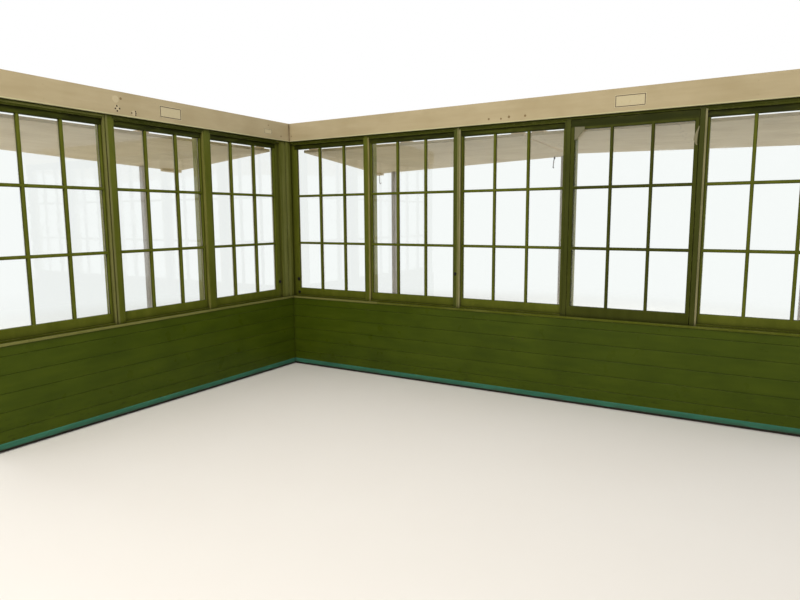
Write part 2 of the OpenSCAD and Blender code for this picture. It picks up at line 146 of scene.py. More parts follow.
for plate, run in (("sole_plate_back", "x"), ("sole_plate_left", "y"),
                   ("top_plates_back", "x"), ("top_plates_left", "y")):
    dress(plate, sawn_pine("sawn_pine_" + plate, run))


# Posts, corner post and jambs. They are planed fir, brushed by hand with many coats of
# olive leaf green oil paint, which is soft at the arrises and dull where it is rubbed.
RIDGE_W, RIDGE_L, ARRIS_R = 2.2, 130, 0.0022


def brushed_paint(name, run, colours, under, sheen=0.42, wear=0.5, joint_shade=0.75, gloss=0.08,
                  rails=None, bands=()):
    """Oil paint brushed on planed wood. The brush leaves ridges the long way, drawn coarse
    enough to show, coats pool into paler and darker patches, joints and recesses are darkened
    as painted shade, and the arrises wear through. Rails are brushed across. A band takes
    another colour in streaks; most bands are painted highlights and painted shade."""
    material, tree, shader = finish_named(name)
    ridges = streaks(tree, run, RIDGE_W, RIDGE_L)
    if rails:
        low, high, across = rails
        z = lying_at(tree, "Z")
        below = add(tree, "Math", {0: z, 1: low}, operation="LESS_THAN").outputs[0]
        above = add(tree, "Math", {0: z, 1: high}, operation="GREATER_THAN").outputs[0]
        rail = add(tree, "Math", {0: below, 1: above}, operation="MAXIMUM").outputs[0]
        ridges = add(tree, "MixRGB", {"Fac": rail, "Color1": ridges,
                                      "Color2": streaks(tree, across, RIDGE_W, RIDGE_L)}).outputs["Color"]
    coat = over(tree, linear(colours[0]), colours[1], (streaks(tree, run, 60, 420), 0.3, 0.7))
    coat = over(tree, coat, colours[2], (spots(tree, 300), 0.45, 0.8), share=0.6)
    # Bands lay another colour on part of a piece in streaks, mostly painted highlights and painted shade.
    for axis, low, high, band_colour in bands:
        within = add(tree, "Math", {0: lying_at(tree, axis), 1: (low + high) / 2, 2: (high - low) / 2},
                     operation="COMPARE").outputs[0]
        along = across if rails and axis == "Z" else run
        band_streaks = add(tree, "MapRange", {"Value": streaks(tree, along, 30, 260), "From Min": 0.3,
                                      "From Max": 0.55, "To Min": 0.45, "To Max": 1.0}).outputs["Result"]
        coat = over(tree, coat, band_colour, (within, 0, 1), share=band_streaks)
    round_over = add(tree, "Bevel", {"Radius": ARRIS_R}, samples=6).outputs["Normal"]
    flat = add(tree, "NewGeometry").outputs["Normal"]
    match = add(tree, "VectorMath", {0: round_over, 1: flat}, operation="DOT_PRODUCT").outputs["Value"]
    worn_from = 0.62 - 0.14 * wear
    coat = over(tree, coat, under, (match, 0.985, 0.86), (spots(tree, 26, 5.0), worn_from, worn_from + 0.1),
                share=wear)
    # Ambient occlusion darkens joints and recesses towards the shade colour: painted shade.
    joint = add(tree, "AmbientOcclusion", {"Distance": 0.035}, samples=5).outputs["AO"]
    coat = over(tree, coat, colours[3], (joint, 0.9, 0.35), share=joint_shade)
    relief = add(tree, "Bump", {"Height": ridges, "Strength": 0.55, "Distance": 0.0005,
                                "Normal": round_over})
    patchy = add(tree, "MapRange", {"Value": spots(tree, 90), "From Min": 0.3, "From Max": 0.7,
                                    "To Min": sheen - 0.08, "To Max": sheen + 0.12})
    feed(tree, shader, {"Base Color": coat, "Normal": relief.outputs["Normal"],
                        "Roughness": patchy.outputs["Result"], "Specular IOR Level": gloss})
    return material


# Each green: its coat, its streaks, its patches, and the painted shade colour for joints and recesses.
WINDOW_GREEN = ("#4d5315", "#595e1d", "#40460f", "#1d1b08")
# A darker green: painted shade on the posts beside the fourth window, and in part on the fourth sash.
DARKER_GREEN_SHADE = ("#373b0d", "#404415", "#2f3309", "#171605")
GREEN_UNDER = "#a09a62"
PAST_FACE = 0.001
upright_paint = brushed_paint("olive_oil_paint_upright", "z", WINDOW_GREEN, GREEN_UNDER)
for name in sorted(nodes):
    if name.startswith(("end_post_", "corner_post", "corner_jamb_back")):
        dress(name, upright_paint)

# The left jamb beside the corner is painted paler and greyer on the middle of its inner
# faces, and only a little at their sides: a painted highlight where the window light falls.
JAMB_LIT_DEPTH, JAMB_FACE_HIGHLIGHT = 0.012, "#6c6f38"
JAMB_MIDDLE, JAMB_SIDE_HIGHLIGHT = (-0.142, -0.066), "#575a22"
jamb_low, jamb_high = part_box("corner_jamb_left")
jamb_bands = [("X", jamb_high.x - JAMB_LIT_DEPTH, jamb_high.x + PAST_FACE, JAMB_FACE_HIGHLIGHT),
              ("Y", jamb_low.y - PAST_FACE, JAMB_MIDDLE[0], JAMB_SIDE_HIGHLIGHT),
              ("Y", JAMB_MIDDLE[1], jamb_high.y + PAST_FACE, JAMB_SIDE_HIGHLIGHT)]
dress("corner_jamb_left", brushed_paint("olive_oil_paint_corner_jamb_left", "z", WINDOW_GREEN, GREEN_UNDER,
                                        bands=jamb_bands))

# The stop on one side of each post is painted paler, a painted highlight where the window's
# light catches it. The second left post has a painted shadow line beside its stop, and a
# painted highlight on the arris beyond it. The second back post's highlight is wider, and the
# rest of its face is painted darker as painted shade. The two beside the fourth window are
# painted a darker green, as painted shade.
STOP_W, SEAM_W, SEAM_ARRIS_W = 0.012, 0.005, 0.014
BESIDE_STOP_HIGHLIGHT, FACE_SHADE, SEAM_SHADOW, SEAM_ARRIS_HIGHLIGHT = "#706e44", "#444a19", "#2a280a", "#706f42"
STOP_HIGHLIGHTS = {"post_b1": "#857d4c", "post_b2": "#87825a", "post_b3": "#7d7850", "post_b4": "#837e5a",
                "post_l1": "#737236", "post_l2": "#72713f"}
for name, colour in STOP_HIGHLIGHTS.items():
    low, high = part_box(name)
    if name.startswith("post_b"):
        bands = [("X", high.x - STOP_W, high.x + PAST_FACE, colour)]
    else:
        bands = [("Y", low.y - PAST_FACE, low.y + STOP_W, colour)]
    if name == "post_b2":
        bands += [("X", high.x - 2 * STOP_W, high.x - STOP_W, BESIDE_STOP_HIGHLIGHT),
                  ("X", low.x - PAST_FACE, high.x - 2 * STOP_W, FACE_SHADE)]
    if name == "post_l2":
        seam = low.y + STOP_W
        bands += [("Y", seam, seam + SEAM_W, SEAM_SHADOW),
                  ("Y", seam + SEAM_W, seam + SEAM_W + SEAM_ARRIS_W, SEAM_ARRIS_HIGHLIGHT)]
    coats = DARKER_GREEN_SHADE if name in ("post_b3", "post_b4") else WINDOW_GREEN
    dress(name, brushed_paint("olive_oil_paint_" + name, "z", coats, GREEN_UNDER, bands=bands))


# Black thumb bolts. Each is a round head on a plate, japanned black, screwed through the
# stiles beside the corner and into the second post, to pin the sashes.
def hang(name, mesh, material):
    """Puts a mesh on the wall as a piece, riding on the one body."""
    mesh.materials.clear()
    mesh.materials.append(material)
    made = bpy.data.objects.new(name, mesh)
    bpy.context.scene.collection.objects.link(made)
    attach(made, "root")


def piece(name, points, faces, material):
    """A mesh with its outward side out, put on the wall."""
    mesh = bpy.data.meshes.new(name)
    mesh.from_pydata(points, [], faces)
    work = bmesh.new()
    work.from_mesh(mesh)
    bmesh.ops.recalc_face_normals(work, faces=work.faces)
    work.to_mesh(mesh)
    work.free()
    hang(name, mesh, material)


def on_wall(wall, along, out, height):
    """A place by its distance along a wall, outward of the sash planes, and its height."""
    return (along, out, height) if wall == "back" else (-out, -along, height)


def turned(points, faces, centre, axis, profile, sides=12):
    """Adds a turned solid to points and faces. Its profile is a list of (distance along
    the axis, radius), and a radius of zero closes an end to a point."""
    axis = Vector(axis).normalized()
    first = axis.orthogonal().normalized()
    second = axis.cross(first)
    rings = []
    for reach, radius in profile:
        foot = Vector(centre) + axis * reach
        count = sides if radius > 0 else 1
        rings.append([len(points) + k for k in range(count)])
        for k in range(count):
            turn = 2 * math.pi * k / sides
            points.append(tuple(foot + first * radius * math.cos(turn) + second * radius * math.sin(turn)))
    for ring, following in zip(rings, rings[1:]):
        for k in range(sides):
            a, b = ring[k % len(ring)], ring[(k + 1) % len(ring)]
            c, d = following[(k + 1) % len(following)], following[k % len(following)]
            faces.append([i for n, i in enumerate((a, b, c, d)) if i not in (a, b, c, d)[:n]])
    for end in (rings[0], rings[-1]):
        if len(end) > 1:
            faces.append(list(end))


def black_japan():
    """Japan on iron: near black, with a dull gloss that is scuffed to brown on the rims."""
    material, tree, shader = finish_named("black_japan")
    coat = over(tree, linear("#0d0c0a"), "#2a2117", (spots(tree, 4), 0.5, 0.7), share=0.6)
    dull = add(tree, "MapRange", {"Value": spots(tree, 6), "From Min": 0.3, "From Max": 0.7,
                                  "To Min": 0.5, "To Max": 0.7})
    feed(tree, shader, {"Base Color": coat, "Roughness": dull.outputs["Result"], "Specular IOR Level": 0.2})
    return material


SASH_FACE, POST_FACE = -0.0175, -0.038
BOLT = [(0, 0.012), (0.0015, 0.012), (0.002, 0.0095), (0.006, 0.0095), (0.0085, 0.0078), (0.0095, 0.0045),
        (0.0098, 0)]
# Each bolt's wall, its distance along it, the face it stands on, its height and its size.
BOLTS = (("back", 0.092, SASH_FACE, 0.777, 1.35), ("back", 0.096, SASH_FACE, 0.660, 1.15),
         ("left", 0.190, SASH_FACE, 0.763, 1.1), ("back", 1.664, POST_FACE, 0.888, 1))
points, faces = [], []
for wall, along, out, height, size in BOLTS:
    head = [(reach, radius * size) for reach, radius in BOLT]
    turned(points, faces, on_wall(wall, along, out, height), on_wall(wall, 0, -1, 0), head, 20)
piece("thumb_bolts", points, faces, black_japan())


# Window heads and sills. The heads close each bay under the top plates, painted a darker
# green as painted shade under the frieze. Stools and sloped outside sills run on under all the
# sashes. The nosings carry a pale painted highlight, the back one only near the corner, and so
# does the left head's lower edge in its third bay.
# The heads' darker green is painted shade; the head edge and nosing colours are painted highlights.
HEAD_SHADE_GREEN = ("#383d0e", "#424714", "#2e330a", "#171605")
HEAD_SHOWS, HEAD_EDGE, HEAD_EDGE_HIGHLIGHT = 0.018, 0.011, "#6c6e38"
THIRD_LEFT_BAY, PAST_CORNER = -1.784, 0.1
NOSING_W, NOSING_HIGHLIGHT, HIGHLIGHT_ENDS_AT = 0.018, "#72713f", 0.96
head_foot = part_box("frieze_left")[0].z - HEAD_SHOWS
nosing_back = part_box("sill_back")[0].y
nosing_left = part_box("sill_left")[1].x
for name, run, colours, bands in (
        ("head_back", "x", HEAD_SHADE_GREEN, ()),
        ("head_left", "y", HEAD_SHADE_GREEN,
         [("Z", head_foot - PAST_FACE / 2, head_foot + HEAD_EDGE, HEAD_EDGE_HIGHLIGHT),
          ("Y", THIRD_LEFT_BAY, PAST_CORNER, HEAD_SHADE_GREEN[0])]),
        ("sill_back", "x", WINDOW_GREEN,
         [("Y", nosing_back - PAST_FACE, nosing_back + NOSING_W, NOSING_HIGHLIGHT),
          ("X", HIGHLIGHT_ENDS_AT, cad_box[1][0], WINDOW_GREEN[0])]),
        ("sill_left", "y", WINDOW_GREEN,
         [("X", nosing_left - NOSING_W, nosing_left + PAST_FACE, NOSING_HIGHLIGHT)])):
    dress(name, brushed_paint("olive_oil_paint_" + name, run, colours, GREEN_UNDER, wear=0.8, gloss=0.04,
                              bands=bands))


# Sashes. Each is a frame of two stiles and two rails, tenoned and pinned, with moulded
# bars for nine lights. The rails are brushed across, the stiles up, and the top rail is painted
# dark as painted shade under the head. The fourth sash of the back wall stands 20 mm further
# in than the others and is painted a darker green, in part as painted shade.
BOTTOM_RAIL, TOP_RAIL = 0.075, 0.048
SHADED_GREEN = "#262a08"
sash_low, sash_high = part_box("sash_b1")
top_rail_foot = sash_high.z - TOP_RAIL
wall_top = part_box("frieze_back")[1].z
for name in sorted(nodes):
    if name.startswith("sash_"):
        across = "x" if name.startswith("sash_b") else "y"
        colours = DARKER_GREEN_SHADE if name == "sash_b4" else WINDOW_GREEN
        dress(name, brushed_paint("olive_oil_paint_" + name, "z", colours, GREEN_UNDER, wear=0.7, gloss=0.05,
                                  rails=(sash_low.z + BOTTOM_RAIL, top_rail_foot, across),
                                  bands=[("Z", top_rail_foot, wall_top, SHADED_GREEN)]))


# Panes of drawn sheet glass, 3 mm thick. They ripple a little from the drawing machine
# and carry a film of dust that gathers towards the putty.
def drawn_glass():
    """Drawn glass: clear and faintly green, rippled by some 40 mm, dusty in soft patches."""
    material, tree, shader = finish_named("drawn_glass")
    ripple = add(tree, "Bump", {"Height": streaks(tree, "x", 40, 400, 1.0), "Strength": 0.1,
                                "Distance": 0.0004})
    dusty = add(tree, "MapRange", {"Value": spots(tree, 120), "From Min": 0.5, "From Max": 0.8,
                                   "To Min": 0.015, "To Max": 0.09})
    feed(tree, shader, {"Base Color": linear("#f6faf8"), "Normal": ripple.outputs["Normal"],
                        "Roughness": dusty.outputs["Result"], "Transmission Weight": 1.0, "IOR": 1.52})
    return material


window_glass = drawn_glass()
dress("glass_back", window_glass)
dress("glass_left", window_glass)


# Glazing putty. Outside, each light's rabbet is filled with linseed putty, struck off
# with a knife to a slope from the glass up to the face of the sash, and painted over.
def knifed_putty():
    """Old putty under cream paint: off white, chalky, with fine cracks across the fillet."""
    material, tree, shader = finish_named("knifed_putty")
    body = over(tree, linear("#d3cbb4"), "#bdb296", (spots(tree, 160), 0.35, 0.7))
    body = over(tree, body, "#8f8468", (spots(tree, 9, 6.0), 0.6, 0.66))
    lumps = add(tree, "Bump", {"Height": spots(tree, 7), "Strength": 0.4, "Distance": 0.0006})
    feed(tree, shader, {"Base Color": body, "Normal": lumps.outputs["Normal"], "Roughness": 0.8})
    return material


def span(wall, node):
    """Where a node starts and ends along its wall."""
    low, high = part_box(node)
    return (low.x, high.x) if wall == "back" else (-high.y, -low.y)


STILE, BAR, LIGHT_W, LIGHT_H = 0.025, 0.021, 0.233, 0.392
# How far a sash's bars stand off its middle, and what sets the fourth back sash apart.
SHIFTS = {"sash_b1": 0.022, "sash_l1": 0.007, "sash_l2": -0.012, "sash_l3": 0.005}
INWARD = {"sash_b4": 0.020}
TOP_LOSS = {"sash_b4": 0.017}


def lights(wall, name):
    """Each light of a sash, by its sight lines: left, right, foot and head along the wall."""
    start, end = span(wall, name)
    shift = SHIFTS.get(name, 0)
    outer = (end - start - 2 * STILE - 2 * BAR - LIGHT_W) / 2
    left = start + STILE
    for width in (outer + shift, LIGHT_W, outer - shift):
        for row in range(3):
            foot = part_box(name)[0].z + BOTTOM_RAIL + row * (LIGHT_H + BAR)
            yield left, left + width, foot, foot + LIGHT_H - (TOP_LOSS.get(name, 0) if row == 2 else 0)
        left += width + BAR


def mitred(points, faces, wall, box, section):
    """Adds a mitred frame round a box on a wall. Its section is a closed list of (distance
    past the box's sides, distance outward)."""
    left, right, foot, head = box
    base, count = len(points), len(section)
    for grow, out in section:
        for along, height in ((left - grow, foot - grow), (right + grow, foot - grow),
                              (right + grow, head + grow), (left - grow, head + grow)):
            points.append(on_wall(wall, along, out, height))
    for ring in range(count):
        for k in range(4):
            n, following = (k + 1) % 4, (ring + 1) % count
            faces.append([base + 4 * ring + k, base + 4 * ring + n,
                          base + 4 * following + n, base + 4 * following + k])


RABBET, PANE_OUTSIDE, PUTTY_TOP = 0.0057, 0.0046, 0.0170
PUTTY_LIP, LIP_RISE = 0.0004, 0.001
PUTTY = ((RABBET, PANE_OUTSIDE), (RABBET, PUTTY_TOP), (PUTTY_LIP, PANE_OUTSIDE + LIP_RISE))
putty = knifed_putty()
for wall in ("back", "left"):
    points, faces = [], []
    for name in sorted(n for n in nodes if n.startswith("sash_" + wall[0])):
        section = [(grow, out - INWARD.get(name, 0)) for grow, out in PUTTY]
        for light in lights(wall, name):
            mitred(points, faces, wall, light, section)
    piece("putty_" + wall, points, faces, putty)


# Dado of tongue and groove boards. It is nailed to the studs under the stool and brushed
# with a deeper leaf green gloss than the windows, and it is scuffed near the foot.
def marked(material, colour, *patterns, share):
    """A paint with another colour over it, where every one of some patterns is strong."""
    tree = material.node_tree
    shader = tree.nodes["Principled BSDF"]
    coat = shader.inputs["Base Color"].links[0].from_socket
    feed(tree, shader, {"Base Color": over(tree, coat, colour, *patterns, share=share)})
    return material


def kicked_paint(name, run):
    """Gloss oil paint on boards: leaf green with brush ridges, scuffed darker near the foot."""
    material = brushed_paint(name, run, ("#38450a", "#424e0d", "#2f3b07", "#171805"), "#8b8a52",
                             sheen=0.34, wear=0.55, joint_shade=0.5)
    tree = material.node_tree
    return marked(material, "#252c10", (lying_at(tree, "Z"), 0.30, 0.08),
                  (streaks(tree, run, 14, 60, 5.0), 0.56, 0.66), share=0.5)


dress("dado_back", kicked_paint("leaf_green_gloss_dado_back", "x"))
dress("dado_left", kicked_paint("leaf_green_gloss_dado_left", "y"))


# Dado nails. Finish nails are punched just under the face at each stud, and the paint
# has sunk over them, so each shows as a small dished dot.
def nail_rows(name, wall, places, out, material, slot, radius=0.0032, rise=0.0007):
    """Low round nail heads on a wall's face, at places along it, facing out or in."""
    points, faces = [], []
    axis = on_wall(wall, 0, 1 if out > 0 else -1, 0)
    profile = [(-0.0004, radius), (rise * 0.6, radius * 0.92), (rise, radius * 0.5), (rise * 0.8, 0)]
    for along, height in places:
        turned(points, faces, on_wall(wall, along, out, height), axis, profile, 8)
    piece(name, points, faces, material)


STUD_PITCH = 0.4064


def studs_from(first, last):
    """Where the studs stand along a wall, at 16 inch centres."""
    return [first + STUD_PITCH * k for k in range(int((last - first) / STUD_PITCH) + 1)]


DADO_FACE, TOP_BOARD, BOARD, NAIL_OVER_JOINT = -0.057, 0.058, 0.107, 0.030
FIRST_STUD, LAST_STUD_IN = 0.24, 0.02
dado_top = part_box("dado_back")[1].z
dado_joints = [dado_top - TOP_BOARD - BOARD * k for k in range(5)]
rng = random.Random(41)
for wall in ("back", "left"):
    length = span(wall, "dado_" + wall)[1]
    places = [(stud + rng.uniform(-0.005, 0.005), joint + NAIL_OVER_JOINT + rng.uniform(-0.004, 0.004))
              for stud in studs_from(FIRST_STUD, length - LAST_STUD_IN) for joint in dado_joints]
    nail_rows("dado_nails_" + wall, wall, places, DADO_FACE, nodes["dado_" + wall].data.materials[0],
              "dado_green")


# Base strip. It is a thicker strip along the foot of the dado, raised by a gap, in an
# older teal that is grimed along its lower edge.
def grimed_paint(name, run):
    """Old teal paint: chalky, chipped to grey wood on the upper arris, dirty along the foot."""
    material = brushed_paint(name, run, ("#2f6450", "#3a735c", "#285545", "#191a14"), "#8c8470",
                             sheen=0.5, wear=0.9)
    tree = material.node_tree
    return marked(material, "#3a3426", (lying_at(tree, "Z"), 0.05, 0.012),
                  (streaks(tree, run, 20, 120), 0.35, 0.6), share=0.75)


dress("base_back", grimed_paint("grimed_teal_base_back", "x"))
dress("base_left", grimed_paint("grimed_teal_base_left", "y"))


# Frieze. Wide cream boards run from the window heads to the wall's top. They are hand
# brushed and flat, with filled screw holes, nail dots and a few stains. The cream is painted
# darker than the real paint, as painted shade, and a thin paler line along the foot is a
# painted highlight on its lower arris.
# The pale line along the frieze's foot is a painted highlight on its lower arris.
FRIEZE_FACE, FOOT_EDGE_W, FOOT_EDGE_HIGHLIGHT = -0.057, 0.007, "#bab68c"
FRIEZE_NAILS = {
    "back": ((0.42, 0.12), (1.26, 0.035), (1.26, 0.125), (2.74, 0.035), (2.74, 0.128), (3.62, 0.04),
             (3.62, 0.12)),
    "left": ((0.62, 0.04), (0.62, 0.12), (1.43, 0.035), (1.43, 0.12), (2.2, 0.04), (2.2, 0.12)),
}
frieze_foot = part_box("frieze_back")[0].z


def shaded_flat_cream(name, run):
    """Flat cream paint on wide boards: warm, brushed the long way, a little yellow in patches.
    The cream is darkened as painted shade, and the foot has a painted highlight.
    """
    return brushed_paint(name, run, ("#a89a78", "#b1a382", "#9b8c69", "#574b35"), "#8a724a", sheen=0.62,
                         wear=0.35, joint_shade=0.6,
                         bands=[("Z", frieze_foot - PAST_FACE, frieze_foot + FOOT_EDGE_W, FOOT_EDGE_HIGHLIGHT)])


dress("frieze_back", shaded_flat_cream("flat_cream_frieze_back", "x"))
dress("frieze_left", shaded_flat_cream("flat_cream_frieze_left", "y"))
for wall, dots in FRIEZE_NAILS.items():
    nail_rows("frieze_nails_" + wall, wall, [(along, wall_top - drop) for along, drop in dots], FRIEZE_FACE,
              nodes["frieze_" + wall].data.materials[0], "frieze_cream")


# Filler over old fixings, long since taken down. Round ones left pale discs, two of them
# with their screws, and single screws left dabs of brown paste, never painted. Four more
# screws still stand in the dado.
def mottled(name, first, second):
    """A dull finish that is mottled in two shades, as old filler, putty, tape and rust are."""
    material, tree, shader = finish_named(name)
    body = over(tree, linear(first), second, (spots(tree, 5), 0, 1))
    feed(tree, shader, {"Base Color": body, "Roughness": 0.9})
    return material


def dabs(name, places, rise, material):
    """Low domed dabs on the boards of a wall, each (wall, along, height, radius)."""
    points, faces = [], []
    for wall, along, height, size in places:
        turned(points, faces, on_wall(wall, along, FRIEZE_FACE, height), on_wall(wall, 0, -1, 0),
               [(-0.0005, size), (rise * 0.6, size * 0.9), (rise, size * 0.45), (rise * 0.8, 0)], 14)
    piece(name, points, faces, material)


FILLER_RISE, SCREW_RISE = 0.0007, 0.0013
UPPER_DISC, LOWER_DISC = (1.728, 2.030), (1.607, 2.015)
BROWN_DABS = (("left", 1.699, 2.095, 0.009), ("left", 0.317, 2.095, 0.006), ("left", 0.163, 2.019, 0.007),
              ("back", 0.082, 2.030, 0.006), ("back", 1.934, 2.020, 0.0085), ("back", 2.028, 2.015, 0.0075),
              ("back", 2.088, 2.023, 0.010), ("back", 2.207, 2.021, 0.009))
PALE_SCARS = (("left", *UPPER_DISC, 0.022), ("left", *LOWER_DISC, 0.018), ("left", 1.736, 2.086, 0.024))
OLD_SCREWS = [("left", UPPER_DISC[0] + a, UPPER_DISC[1] + up, 0.0066)
              for a, up in ((0.013, -0.003), (0.002, 0.014), (0, -0.016), (-0.017, 0))]
OLD_SCREWS += [("left", LOWER_DISC[0] + a, LOWER_DISC[1] + up, 0.0054)
               for a, up in ((0.015, 0), (-0.014, 0.012), (-0.016, 0.001), (-0.014, -0.010))]
OLD_SCREWS += [("back", 2.145, 0.431, 0.0055), ("back", 2.172, 0.423, 0.003), ("back", 2.196, 0.425, 0.0028),
               ("back", 2.226, 0.427, 0.0034)]
dabs("filled_holes", BROWN_DABS, FILLER_RISE, mottled("brown_filler", "#6f5e3c", "#85724d"))
dabs("pale_scars", PALE_SCARS, FILLER_RISE, mottled("pale_filler", "#b0a280", "#bbae8b"))
dabs("old_screws", OLD_SCREWS, SCREW_RISE, mottled("rusted_screw_heads", "#2c2114", "#40311d"))


# Corner joint. The frieze boards don't quite meet in the corner of the walls. The open
# joint was stopped with putty, which is brown with dirt and wavers down its length.
BEAD_WIDTHS = (0.0035, 0.0045, 0.003, 0.004, 0.0055, 0.0045, 0.006, 0.0075, 0.006, 0.0035)
BEAD_BITE, UNDER_TOP = 0.0006, 0.002
corner_x, corner_y = -FRIEZE_FACE, FRIEZE_FACE
step = (wall_top - UNDER_TOP - frieze_foot) / (len(BEAD_WIDTHS) - 1)
points, faces = [], []
for k, width in enumerate(BEAD_WIDTHS):
    points += [(corner_x + x, corner_y + y, frieze_foot + step * k)
               for x, y in ((-BEAD_BITE, BEAD_BITE), (width, BEAD_BITE), (-BEAD_BITE, -width))]
faces += [(0, 1, 2), tuple(len(points) - 1 - n for n in range(3))]
for k in range(len(BEAD_WIDTHS) - 1):
    for n in range(3):
        a, b = 3 * k + n, 3 * k + (n + 1) % 3
        faces.append((a, b, b + 3, a + 3))
piece("corner_putty", points, faces, mottled("dirty_putty", "#4a3c26", "#645238"))


# Notice cards. Three small cards are pinned to the frieze, each with a thin dark border
# and nothing inside it. Their corners have curled a little off the boards.
def faded_card():
    """Old card: warm, slightly yellow, flat, with fox marks."""
    material, tree, shader = finish_named("faded_card")
    card = over(tree, linear("#b9ad89"), "#9f8a5a", (spots(tree, 14, 5.0), 0.6, 0.75), share=0.5)
    feed(tree, shader, {"Base Color": card, "Roughness": 0.75})
    return material


def border_ink():
    """Printer's black, faded to a grey brown."""
    material, tree, shader = finish_named("border_ink")
    ink = over(tree, linear("#43372a"), "#5f503b", (spots(tree, 6), 0, 1))
    feed(tree, shader, {"Base Color": ink, "Roughness": 0.7})
    return material


CARD_T, CURL = 0.0006, 0.0006


def curled_card(points, faces, wall, box):
    """Adds a thin card on the frieze, whose corners have lifted a little from it."""
    left, right, foot, head = box
    across, up = 12, 6
    base = len(points)
    for lift in (0, -CARD_T):
        for i in range(across + 1):
            for k in range(up + 1):
                u, v = 2 * i / across - 1, 2 * k / up - 1
                curl = CURL * (u * u * abs(u)) * (v * v)
                points.append(on_wall(wall, left + (right - left) * i / across, FRIEZE_FACE - curl + lift,
                                      foot + (head - foot) * k / up))
    stride, sheet = up + 1, (across + 1) * (up + 1)
    for i in range(across):
        for k in range(up):
            a = base + i * stride + k
            faces.append([a, a + 1, a + stride + 1, a + stride])
            faces.append([b + sheet for b in (a, a + stride, a + stride + 1, a + 1)])
    rim = [base + i * stride for i in range(across)] + [base + across * stride + k for k in range(up)]
    rim += [base + i * stride + up for i in range(across, 0, -1)] + [base + k for k in range(up, 0, -1)]
    for a, b in zip(rim, rim[1:] + rim[:1]):
        faces.append([a, b, b + sheet, a + sheet])


# Each card's wall, its four edges, the margin outside its border and the border's width.
CARDS = (("left", 1.216, 1.402, 2.016, 2.098, 0.005, 0.0042),
         ("back", 2.811, 3.006, 2.015, 2.097, 0.005, 0.0042),
         ("left", 0.275, 0.372, 2.021, 2.066, 0.004, 0.002))
INK_LOW, INK_HIGH = FRIEZE_FACE - 0.0004, FRIEZE_FACE - 0.0016
card_points, card_faces, ink_points, ink_faces = [], [], [], []
for wall, left, right, foot, head, margin, line in CARDS:
    curled_card(card_points, card_faces, wall, (left, right, foot, head))
    mitred(ink_points, ink_faces, wall, (left + margin, right - margin, foot + margin, head - margin),
           ((0, INK_LOW), (0, INK_HIGH), (-line, INK_HIGH), (-line, INK_LOW)))
piece("notice_cards", card_points, card_faces, faded_card())
piece("card_borders", ink_points, ink_faces, border_ink())


# Outside boards: the corner board, casings, head boards and drop siding. They are pine
# in thin cream paint that the weather has chalked and cracked along the grain.
def weathered_paint(name, run, colours=("#d6cfbb", "#cdc4ac", "#c2b79a"), loss=0.5):
    """Thin paint on boards outdoors: chalky cream, cracked along the grain to grey wood."""
    material, tree, shader = finish_named(name)
    coat = over(tree, linear(colours[0]), colours[1], (streaks(tree, run, 45, 500), 0.35, 0.65))
    coat = over(tree, coat, colours[2], (spots(tree, 240), 0.45, 0.75), share=0.7)
    coat = over(tree, coat, "#8b8272", (streaks(tree, run, 4, 110, 6.0), 0.64, 0.70),
                (spots(tree, 330, 4.0), 0.5, 0.68), share=loss)
    round_over = add(tree, "Bevel", {"Radius": 0.002}, samples=6).outputs["Normal"]
    relief = add(tree, "Bump", {"Height": streaks(tree, run, 3, 120), "Strength": 0.6, "Distance": 0.0007,
                                "Normal": round_over})
    feed(tree, shader, {"Base Color": coat, "Normal": relief.outputs["Normal"], "Roughness": 0.74})
    return material


for name, run in (("corner_board", "z"), ("head_board_back", "x"), ("head_board_left", "y"),
                  ("siding_back", "x"), ("siding_left", "y")):
    dress(name, weathered_paint("weathered_cream_" + name, run))
# The casings are a bleached green, written lighter still as a painted highlight for the daylight on them.
BLEACHED_AND_LIT_GREEN = ("#9a985f", "#a3a16c", "#8a8850")
for name in ("casings_back", "casings_left"):
    dress(name, weathered_paint("bleached_green_" + name, "z", BLEACHED_AND_LIT_GREEN, 0.8))


# Corner plate. A triangle of sheet iron with two corners clipped, painted a thin grey green,
# braces the fourth sash inside at its upper left corner, over the moulded foot of the rail.
PLATE = [(2.5525, 1.9190), (2.6190, 1.9165), (2.6190, 1.8985), (2.5720, 1.8395), (2.5525, 1.8330)]
PLATE_BITE, PLATE_T = 0.0002, 0.0016
PLATE_GREEN = ("#66634a", "#5c593d", "#6f6b50")
fourth_face = SASH_FACE - INWARD["sash_b4"]
points = [(x, y, z) for y in (fourth_face + PLATE_BITE, fourth_face - PLATE_T) for x, z in PLATE]
faces = [(0, 1, 2, 3, 4), (9, 8, 7, 6, 5)] + [(k, k + 5, (k + 1) % 5 + 5, (k + 1) % 5) for k in range(5)]
piece("corner_plate", points, faces, weathered_paint("thin_grey_green", "z", PLATE_GREEN, 0.5))


# Tape. A scrap of old masking tape hangs curled on the fourth window's right stile, dry
# and yellowed, with its lower half lifted off the wood.
TAPE_T, TAPE_OFF = 0.0006, 0.0008
